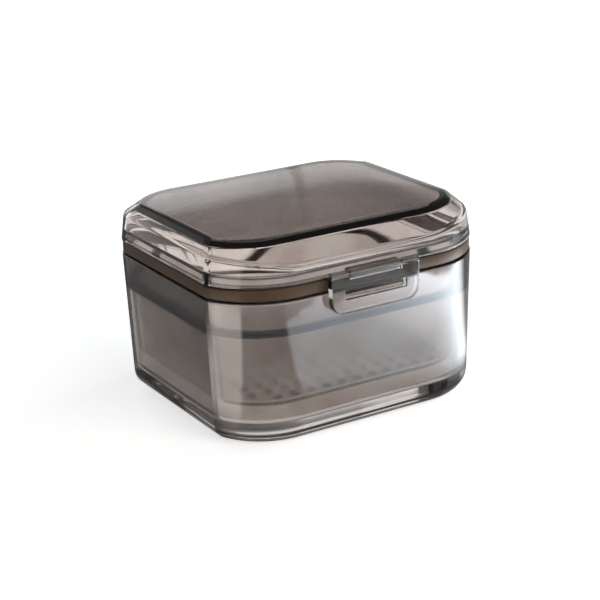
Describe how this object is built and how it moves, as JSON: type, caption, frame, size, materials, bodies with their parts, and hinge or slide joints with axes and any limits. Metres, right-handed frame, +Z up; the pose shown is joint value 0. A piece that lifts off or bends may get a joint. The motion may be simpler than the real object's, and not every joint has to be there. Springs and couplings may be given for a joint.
{
  "type": "denture case",
  "caption": "Clear hinged box with a bevelled lid, silicone seal, drain basket and front snap latch, for soaking or carrying a denture or retainer.",
  "frame": {"origin": "middle of the flat underside of the body", "axes": "+Z up through the lid, +X to the right as seen from the latch, -Y towards the latch and +Y towards the hinges"},
  "size_m": [0.095, 0.0967, 0.0628],
  "materials": {
    "clear_shell": "clear smoky grey, polished outside and frosted inside",
    "clip": "clear, polished",
    "basket": "frosted grey",
    "seal": "matte brown silicone",
    "pin": "plain drawn steel"
  },
  "bodies": {
    "base": {"case_body": "clear_shell", "hinge_pin_left": "pin", "hinge_pin_right": "pin"},
    "cover": {"lid": "clear_shell", "seal_ring": "seal", "latch_pin": "pin"},
    "clip": {"latch": "clip"},
    "basket": {"drain_basket": "basket"}
  },
  "joints": [
    {"name": "lid_hinge", "type": "hinge", "parent": "base", "child": "cover", "pos_m": [0, 0.0472, 0.0472], "axis": [-1, 0, 0], "range_deg": [0, 110]},
    {"name": "latch_pivot", "type": "hinge", "parent": "cover", "child": "clip", "pos_m": [0, -0.04575, 0.05105], "axis": [-1, 0, 0], "range_deg": [0, 120]},
    {"name": "basket_lift", "type": "slide", "parent": "base", "child": "basket", "axis": [0, 0, 1], "range_m": [0, 0.0075]}
  ]
}
